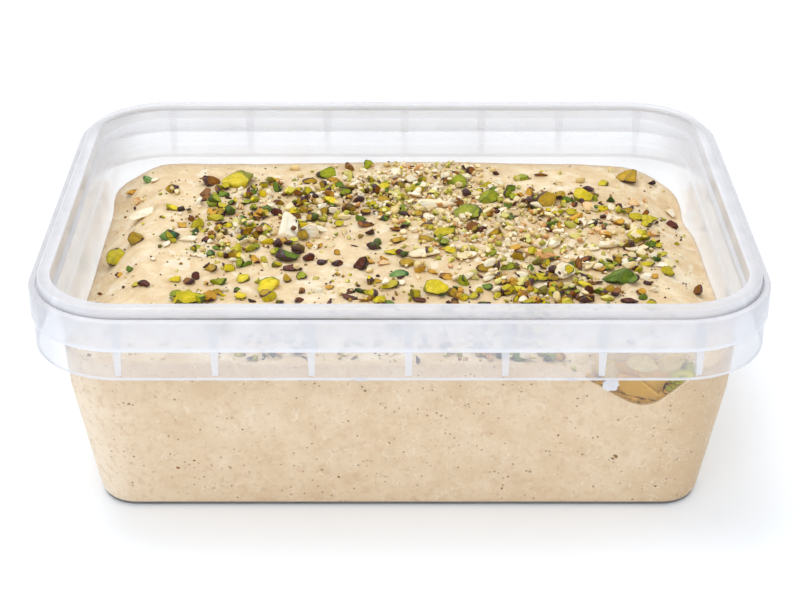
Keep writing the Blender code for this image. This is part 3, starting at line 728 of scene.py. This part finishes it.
# hull chips, and deeper pits drawn as darker pieces in painted shade, that show through the wall: x, z and
# size in mm
wallMarks = (
    (42.5, 13.5, 1.3), (42, 12.9, 0.8), (-43.8, 10.6, 0.9), (-40.4, 12.4, 0.6), (-12, 8, 0.6),
    (8, 24, 0.5), (20.5, 5, 0.6), (51, 5.5, 0.5), (-30.5, 20.5, 0.5), (-2, 17, 0.5), (31, 19, 0.6),
    (-52, 27, 0.5),
)
almondLooks = ("cream", "orange", "peach", "crumb", "oily", "soaked")
thinLooks = ("purple", "brown")
cutLooks = ("yellow", "lime", "olive", "green", "orange")   # these lie with a cut to the front
bigLooks = ("lime", "lime", "lime", "green", "green", "olive", "olive", "yellow", "orange", "dark", "brown",
            "cream")
chipLooks = ("lime", "lime", "orange", "green", "green", "olive", "olive", "olive", "yellow", "pale", "dark",
             "orange", "cream", "crumb", "purple", "brown", "brown")

nutSettings = {
    "seed": 5,
    "sink": 0.2,             # share of a piece's height pressed into the paste
    "footReach": 0.5,        # share of its height that painted shade darkens, from the foot up
    "footShade": 0.6,        # how much that painted shade darkens it at the foot
    "edge": 1.2,             # mm kept clear of the tub's wall
    "cell": 0.6,             # mm, the grid in which the heap's height is kept
    "highest": 2.4,          # mm, no piece starts higher than this on the others
    "wall": 0.8,             # mm, from the tub's outer face to a piece that is pressed against the wall
    "markDepth": 0.42,       # mm, from there to a hull chip that shows through it
    # where the pistachios and where the almond crumbs lie thick: x, y, reach in mm and weight
    "drifts": (
        (-35, 24, 10, 1.9), (-24, 22, 11, 1.9), (-10, 28, 10, 1.2), (-3, 22, 9, 1.3), (12, 30, 11, 0.9),
        (15, 16, 9, 0.9), (-37, 9, 10, 1.5), (-30, 2, 10, 1.2), (32, 22, 12, 1.3), (47, 19, 10, 1.2),
        (28, -19, 10, 2.2), (40, -14, 9, 1.5), (50, -4, 9, 1.1), (-8, -21, 8, 1.2), (10, -20, 9, 0.8),
        (-40, -18, 9, 0.7), (4, 4, 9, 0.8), (20, -42, 10, 1.4), (-25, -43, 10, 1.2), (48, -42, 9, 1.2),
        (2, -42, 9, 0.9),
    ),
    "crumbDrifts": (
        (-3, 30, 14, 1.5), (12, 26, 14, 1.5), (8, 12, 10, 1), (22, 2, 11, 1.3), (30, 14, 13, 1.2),
        (8, 44, 10, 1.3), (42, 2, 12, 1), (-32, 14, 12, 0.9), (-18, 20, 9, 0.9), (34, -14, 11, 0.9),
        (14, -8, 9, 0.8), (-38, -3, 8, 0.4), (20, -40, 12, 1), (-20, -40, 12, 0.8),
    ),
    "everywhere": 0.1,
    # of each small kind: how many, its length in mm, the drifts that it follows and how closely
    "amounts": {
        "bigChip": (130, 2.4, "drifts", 1.6), "almondChip": (330, 2.0, "crumbDrifts", 1.4),
        "chip": (430, 1.6, "drifts", 1.2), "crumb": (1250, 0.7, "crumbDrifts", 1.6),
        "flake": (170, 1.8, "drifts", 1.0), "speck": (700, 0.3, "drifts", 0.6),
        "grit": (900, 0.5, "drifts", 0.7),
    },
}


def surfaceZ(x, y):
    return halvaHeight(x, y) + topRelief(x, y)


def makeKernelMaterial(name, roughness, mottle, swing, saturation):
    # raw nut chopped: waxy, streaked across the cut, with papery purple skin clinging to the outside
    material, tree = newMaterial(name)
    place = addNode(tree, "TexCoord").outputs["Object"]
    tint = addNode(tree, "Attribute", {"attribute_name": "tint"})
    streaks = addNode(tree, "TexNoise", {
        "Scale": 1000 / mottle, "Detail": 5.0, "Roughness": 0.7, "Distortion": 0.8}, {"Vector": place})
    value = addNode(tree, "MapRange", {
        "From Min": 0.32, "From Max": 0.68, "To Min": 1 - swing, "To Max": 1 + swing * 0.7},
        {"Value": streaks.outputs["Fac"]})
    hue = addNode(tree, "MapRange", {"From Min": 0.3, "From Max": 0.7, "To Min": 0.506, "To Max": 0.492},
                  {"Value": streaks.outputs["Fac"]})
    mottled = addNode(tree, "HueSaturation", {"Saturation": saturation},
                      {"Hue": hue.outputs["Result"], "Value": value.outputs["Result"],
                       "Color": tint.outputs["Color"]})
    patches = addNode(tree, "TexNoise", {"Scale": 1000 / 1.3, "Detail": 3.0, "Roughness": 0.7},
                      {"Vector": place})
    clinging = addNode(tree, "Math", {"operation": "MULTIPLY_ADD", 1: 0.62, 2: -0.62},
                       {0: tint.outputs["Alpha"]})
    raised = addNode(tree, "Math", {"operation": "ADD"}, {0: patches.outputs["Fac"], 1: clinging.outputs[0]})
    skin = addNode(tree, "MapRange", {"From Min": 0.1, "From Max": 0.16},
                   {"Value": raised.outputs[0]})
    skinned = addNode(tree, "Mix", {"data_type": "RGBA", 7: srgb("#4B2B33")},
                      {0: skin.outputs["Result"], 6: mottled.outputs["Color"]})
    crinkle = addNode(tree, "TexNoise", {"Scale": 1000 / 0.5, "Detail": 4.0, "Roughness": 0.6},
                      {"Vector": place})
    relief = addNode(tree, "Bump", {"Strength": 0.7, "Distance": 0.2 * mm},
                     {"Height": crinkle.outputs["Fac"]})
    shader = addNode(tree, "BsdfPrincipled", {"Roughness": roughness, "IOR": 1.46},
                     {"Base Color": skinned.outputs[2], "Normal": relief.outputs["Normal"]})
    addNode(tree, "OutputMaterial", links={"Surface": shader.outputs[0]})
    return material


def choppedNut(rng, detail, cuts, taper=0.0, bend=0.0, facing=None):
    # a kernel piece 1 across each way: a lumpy ellipsoid with flats where the knife went; its faces'
    # material tells skin (0) from cut (1), and "depth" grows from the rim of a cut to its middle
    bm = bmesh.new()
    depth = bm.verts.layers.float.new("depth")
    bmesh.ops.create_icosphere(bm, subdivisions=detail, radius=0.5)
    offset = Vector((rng.uniform(0, 50), rng.uniform(0, 50), rng.uniform(0, 50)))
    for vert in bm.verts:
        vert.co *= 1 + 0.3 * noise.noise(vert.co * 2.4 + offset) + 0.09 * noise.noise(vert.co * 6.5 + offset)
        vert.co.y *= 1 - taper * (vert.co.x + 0.5)
        vert.co.z *= 1 - 0.5 * taper * (vert.co.x + 0.5)
    for i in range(cuts):
        around = rng.uniform(0, 2 * math.pi)
        normal = Vector((math.cos(around), math.sin(around), rng.uniform(-0.2, 1.3))).normalized()
        if facing and i == 0:
            normal = facing
        cut = bmesh.ops.bisect_plane(
            bm, geom=bm.verts[:] + bm.edges[:] + bm.faces[:], dist=1e-5,
            plane_co=normal * rng.uniform(0.1, 0.32), plane_no=normal, clear_outer=True)
        rim = [g for g in cut["geom_cut"] if isinstance(g, bmesh.types.BMEdge)]
        for face in bmesh.ops.edgeloop_fill(bm, edges=rim)["faces"]:
            face.material_index = 1
    bmesh.ops.remove_doubles(bm, verts=bm.verts, dist=0.02 if detail < 4 else 0.01)
    flats = [f for f in bm.faces if f.material_index and len(f.verts) > 4]
    for face in flats:
        thickness = 0.12 * math.sqrt(face.calc_area())
        bmesh.ops.inset_individual(bm, faces=[face], thickness=thickness, depth=-0.004, use_even_offset=False)
        for vert in face.verts:
            vert[depth] = 0.45
    if detail > 2:
        middles = bmesh.ops.poke(bm, faces=flats)["verts"]
        for vert in middles:
            vert[depth] = 1.0
        spokes = [e for vert in middles for e in vert.link_edges]
        bmesh.ops.subdivide_edges(bm, edges=spokes, cuts=2)
        for vert in bm.verts:
            if vert[depth] > 0.4:    # a nut breaks rather than cuts
                vert.co += noise.noise_vector(vert.co * 7 + offset) * 0.045
        for i in range(detail - 3):
            bmesh.ops.smooth_vert(bm, verts=bm.verts, factor=0.35,
                                  use_axis_x=True, use_axis_y=True, use_axis_z=True)
    low = [min(v.co[i] for v in bm.verts) for i in range(3)]
    high = [max(v.co[i] for v in bm.verts) for i in range(3)]
    for vert in bm.verts:
        vert.co = [(vert.co[i] - low[i]) / (high[i] - low[i]) - 0.5 for i in range(3)]
        vert.co.z += bend * (vert.co.x ** 2 - 0.1)
    bmesh.ops.recalc_face_normals(bm, faces=bm.faces)
    mesh = bpy.data.meshes.new("shape")
    bm.to_mesh(mesh)
    bm.free()
    return mesh


def towardsFront(rng, turn):
    # a direction up and to the front, as seen by a piece that is going to be turned
    direction = Vector((rng.uniform(-0.4, 0.4), -0.75, 0.6)).normalized()
    return Matrix.Rotation(-math.radians(turn), 3, "Z") @ direction


def blend(a, b, share):
    return [p + (q - p) * share for p, q in zip(a, b)]


class NutHeap:
    # gathers many pieces in one mesh, each with its own tint; small batches keep this quick
    def __init__(self):
        self.batches = []
        self.count = 0
        self.open = None

    def add(self, shape, rng, look, place, size, turn, tilt, pressed=False):
        if self.open is None:
            self.open = bmesh.new()
            self.open.loops.layers.float_color.new("tint")
            self.open.verts.layers.float.new("depth")
        bm = self.open
        tint = bm.loops.layers.float_color["tint"]
        depth = bm.verts.layers.float["depth"]
        firstVert, firstFace = len(bm.verts), len(bm.faces)
        bm.from_mesh(shape)
        bm.verts.ensure_lookup_table()
        bm.faces.ensure_lookup_table()
        verts, faces = bm.verts[firstVert:], bm.faces[firstFace:]
        matrix = Matrix.Translation(Vector(place) * mm)
        for degrees, axis in ((turn, "Z"), (tilt[0], "X"), (tilt[1], "Y")):
            matrix = matrix @ Matrix.Rotation(math.radians(degrees), 4, axis)
        matrix = matrix @ Matrix.Diagonal((*(Vector(size) * mm), 1))
        bmesh.ops.transform(bm, matrix=matrix, verts=verts)
        s = nutSettings
        if pressed:                  # flat against the tub's front wall
            for vert in verts:
                vert.co.y = max(vert.co.y, -(wallHalf(vert.co.z / mm) - widthLess - s["wall"]) * mm)
        middle, edge, skin = (srgb(c) for c in kernelLooks[look][:3])
        cling = kernelLooks[look][3] * rng.uniform(0.3, 1.5)
        shade = rng.uniform(0.95, 1.05) if look in almondLooks else rng.uniform(0.82, 1.12)
        ripe = rng.uniform(0, 0.5)
        skin, edge, middle = (blend(skin, edge, 0.4 * ripe), blend(edge, middle, 0.6 * ripe),
                              blend(middle, edge, 0.4 * ripe))
        # painted shade: each piece is darkened towards its foot, where it meets the paste
        underShade = s["footShade"] * (0.35 if look in almondLooks else 1)
        foot = min(v.co.z for v in verts)
        reach = s["footReach"] * (max(v.co.z for v in verts) - foot)
        for face in faces:
            isCut = face.material_index > 0
            face.smooth = not isCut      # the knife leaves a crisp rim
            face.material_index = 0
            for loop in face.loops:
                wanted = blend(edge, middle, loop.vert[depth]) if isCut else skin
                lit = shade * (1 - underShade * max(0.0, 1 - (loop.vert.co.z - foot) / reach))
                loop[tint] = (*(min(1.0, channel * lit) for channel in wanted[:3]), 0.0 if isCut else cling)
        self.count += 1
        if self.count % 40 == 0:
            self.close()

    def close(self):
        if self.open:
            mesh = bpy.data.meshes.new("batch")
            self.open.to_mesh(mesh)
            self.open.free()
            self.batches.append(mesh)
            self.open = None

    def gathered(self):
        self.close()
        bm = bmesh.new()
        for mesh in self.batches:
            bm.from_mesh(mesh)
        return bm


def driftAt(x, y, kind):
    drifts = sum(w * bump(math.hypot(x - dx, y - dy), reach) for dx, dy, reach, w in nutSettings[kind])
    return min(1.0, (nutSettings["everywhere"] + drifts) / 2.0)


def insideTub(x, y, margin):
    cx, cy = tubSettings["cornerCentre"]
    over, up = max(0, abs(x) - cx), max(0, abs(y) - cy)
    return math.hypot(over, up) < wallHalf(36.8) - 0.7 - cx - margin


def heapFor(look):
    return "almond_kernels" if look in almondLooks else "pistachio_kernels"


def tipped(rng, roll, pitch):
    return rng.uniform(-roll, roll), rng.uniform(-pitch, pitch)


def layNuts():
    s = nutSettings
    rng = random.Random(s["seed"])
    noise.seed_set(s["seed"])        # noise_vector would start from the clock
    heaps = {"pistachio_kernels": NutHeap(), "almond_kernels": NutHeap(), "pistachio_chips": NutHeap(),
             "nut_crumbs": NutHeap(), "skin_flakes": NutHeap()}
    pile = {}                # how high the pieces already lie above the paste, mm

    def cellsUnder(x, y, reachX, reachY, turn):
        cell = s["cell"]
        c, d = math.cos(math.radians(turn)), math.sin(math.radians(turn))
        reach = max(reachX, reachY)
        for i in range(math.floor((x - reach) / cell), math.floor((x + reach) / cell) + 1):
            for j in range(math.floor((y - reach) / cell), math.floor((y + reach) / cell) + 1):
                dx, dy = (i + 0.5) * cell - x, (j + 0.5) * cell - y
                away = math.hypot((dx * c + dy * d) / reachX, (dy * c - dx * d) / reachY)
                if away < 1:
                    yield (i, j), away

    def lay(heap, shape, look, x, y, size, turn, tilt=(0, 0), sink=None, own=None, most=None):
        under = list(cellsUnder(x, y, max(size[0] / 2, 0.5), max(size[1] / 2, 0.5), turn))
        heights = sorted(pile.get(cell, 0.0) for cell, away in under) or [0.0]
        rest = min(s["highest"], sum(heights) / len(heights) * 0.85)
        if most is not None and rest > most:
            return False
        z = surfaceZ(x, y) + rest + size[2] * (0.5 - (s["sink"] if sink is None else sink))
        heaps[heap].add(shape, own or rng, look, (x, y, z), size, turn, tilt)
        for cell, away in under:
            top = rest + size[2] * (0.5 + 0.5 * math.sqrt(1 - away * away) - s["sink"])
            pile[cell] = max(pile.get(cell, 0.0), top)
        return True

    for nut, rows in kernels.items():
        for i, (look, x, y, length, width, height, turn) in enumerate(rows):
            node = f"{nut}_{i + 1:02d}"
            own = random.Random(node)
            long = length > 2 * width
            shape = choppedNut(own, 4, 2 if long else 3, taper=0.45 if long else 0.2,
                               facing=towardsFront(own, turn) if look in cutLooks else None)
            tilt = leaning.get(node) or tipped(own, 8, 5)
            lay(f"{nut}_kernels", shape, look, x, y, (length, width, height), turn, tilt, own=own)

    for look, node, place, size, dip in pocketKernels:
        own = random.Random(f"pocket {place}")
        shape = choppedNut(own, 4 if node else 3, 2, taper=0.15)
        heaps[heapFor(look)].add(shape, own, look, place, size, 0, (0, dip), pressed=True)
    pocketCrumb = choppedNut(random.Random("pocket"), 2, 2)
    for i in range(26):              # oily crumbs fill the pocket's foot
        x = 36.5 + 0.74 * i
        look = "wet" if x > 52 else "oily"
        length = rng.uniform(1.2, 2.4)
        place = (x, -46.3, halvaHeight(x, -47.0) + rng.uniform(0.1, 0.7))
        heaps[heapFor(look)].add(pocketCrumb, rng, look, place, (length, 1.4, length * 0.7), 0,
                                 (0, rng.uniform(-20, 20)), pressed=True)

    mark = choppedNut(random.Random("mark"), 2, 2)
    for x, z, size in wallMarks:
        place = (x, -(wallHalf(z) - widthLess - s["markDepth"]), z)
        heaps["skin_flakes"].add(mark, rng, "orange", place, (size, 0.5, size * 0.8), 0, (0, 40 * x))

    for look, places in laid.items():
        for x, y, length, *tall in places:
            own = random.Random(f"{look} {x} {y}")
            thin = look in thinLooks and own.random() < 0.5
            width = length * own.uniform(0.45, 0.6) if length > 3 else length * own.uniform(0.65, 0.9)
            flat = 0.4 if thin or look == "cream" else None
            height = tall[0] if tall else min(width, length) * (flat or own.uniform(0.6, 0.8))
            turn = own.uniform(-35, 35)
            shape = choppedNut(own, 3, own.choice((2, 3, 4)), taper=own.uniform(0, 0.3),
                               bend=0.5 if thin else 0,
                               facing=towardsFront(own, turn) if look in cutLooks else None)
            lay(heapFor(look), shape, look, x, y, (length, width, max(height, 0.8)), turn,
                tipped(own, 18, 12), own=own)

    chips = [choppedNut(random.Random(f"chip {i}"), 2, 2 + i % 3, taper=0.1 * (i % 4)) for i in range(16)]
    crumbs = [choppedNut(random.Random(f"crumb {i}"), 1, 1 + i % 2) for i in range(8)]
    flakes = [choppedNut(random.Random(f"flake {i}"), 2, 1, taper=0.3, bend=0.9) for i in range(6)]

    def scatter(act, number, size, kind, sharpness):
        laidCount = 0
        while laidCount < number:
            x, y = rng.uniform(-65, 65), rng.uniform(-47, 47)
            fits = rng.random() <= driftAt(x, y, kind) ** sharpness
            if not fits or not insideTub(x, y, s["edge"] * 0.5 + size * 0.5):
                continue
            act(x, y)
            laidCount += 1

    def bigChip(x, y):
        length = rng.uniform(2.2, 3.4)
        shape = choppedNut(rng, 3, rng.choice((2, 3, 4)), taper=rng.uniform(0, 0.3))
        look = rng.choice(bigLooks)
        lay(heapFor(look), shape, look, x, y,
            (length, length * rng.uniform(0.55, 0.85), length * rng.uniform(0.5, 0.75)),
            rng.uniform(0, 360), tipped(rng, 25, 25), most=1.8)

    def almondChip(x, y):
        length = rng.choice((1.3, 1.6, 2.0, 2.4, 3.0))
        lay("nut_crumbs", rng.choice(chips), rng.choice(("cream", "cream", "crumb", "crumb", "pale")), x, y,
            (length, length * rng.uniform(0.5, 0.8), length * rng.uniform(0.35, 0.55)),
            rng.uniform(0, 360), tipped(rng, 25, 25), most=1.4)

    def chip(x, y):
        length = rng.choice((1.1, 1.4, 1.7, 2.0, 2.4, 2.8))
        slim = rng.choice((0.5, 1, 1))
        look = rng.choice(chipLooks)
        heap = "nut_crumbs" if look in almondLooks else "pistachio_chips"
        lay(heap, rng.choice(chips), look, x, y,
            (length, length * slim * rng.uniform(0.6, 0.95), length * slim * rng.uniform(0.5, 0.85)),
            rng.uniform(0, 360), tipped(rng, 30, 30), most=1.4)

    def crumb(x, y):
        length = rng.choice((0.5, 0.7, 0.9, 1.1, 1.4, 1.7))
        look = rng.choice(("crumb", "crumb", "crumb", "cream", "cream", "cream", "pale", "pale", "peach"))
        lay("nut_crumbs", rng.choice(crumbs), look, x, y,
            (length, length * 0.8, length * rng.uniform(0.5, 0.9)),
            rng.uniform(0, 360), tipped(rng, 40, 40), most=0.9)

    def flake(x, y):
        length = rng.choice((1.2, 1.6, 2.0, 2.6))
        lay("skin_flakes", rng.choice(flakes), rng.choice(("purple", "purple", "brown", "dark", "orange")),
            x, y, (length, length * rng.uniform(0.25, 0.6), rng.uniform(0.35, 0.6)), rng.uniform(0, 360),
            tipped(rng, 25, 25), sink=0.15, most=1.6)

    def grit(x, y):
        length = rng.choice((0.4, 0.55, 0.7, 0.9))
        look = rng.choice(("crumb", "crumb", "pale", "yellow", "olive", "orange"))
        lay("nut_crumbs", rng.choice(crumbs), look, x, y, (length, length * 0.8, length * 0.6),
            rng.uniform(0, 360), most=0.6)

    def speck(x, y):
        length = rng.choice((0.25, 0.3, 0.4, 0.55))
        lay("skin_flakes", rng.choice(crumbs), rng.choice(("purple", "brown", "brown", "dark")), x, y,
            (length, length * 0.8, length * 0.6), rng.uniform(0, 360), most=0.8)

    for act in (bigChip, almondChip, chip, crumb, flake, speck, grit):
        scatter(act, *s["amounts"][act.__name__])
    return heaps, pile


heaps, pile = layNuts()
halvaPaste = makeHalva()
buildHalva(halvaPaste, pile)
print("halva ready")
pistachio = makeKernelMaterial("pistachio kernel chopped", 0.38, 1.6, 0.26, 1.4)
almond = makeKernelMaterial("almond blanched chopped", 0.5, 2.0, 0.1, 1.1)
seedSkin = makeKernelMaterial("pistachio skin dried", 0.55, 0.8, 0.25, 1.45)
pistachioNodes = [f"pistachio_{i:02d}" for i in range(1, 22)]
almondNodes = [f"almond_{i:02d}" for i in range(1, 8)]
for name, material, nodes, slot in (
        ("pistachio_kernels", pistachio, pistachioNodes, "pistachio"),
        ("almond_kernels", almond, almondNodes, "almond"),
        ("pistachio_chips", pistachio, None, "pistachio"),
        ("nut_crumbs", almond, None, "almond"),
        ("skin_flakes", seedSkin, None, "pistachio")):
    heap = heaps[name]
    print(name, heap.count, "pieces")
    finishPiece(name, heap.gathered(), [material], nodes)
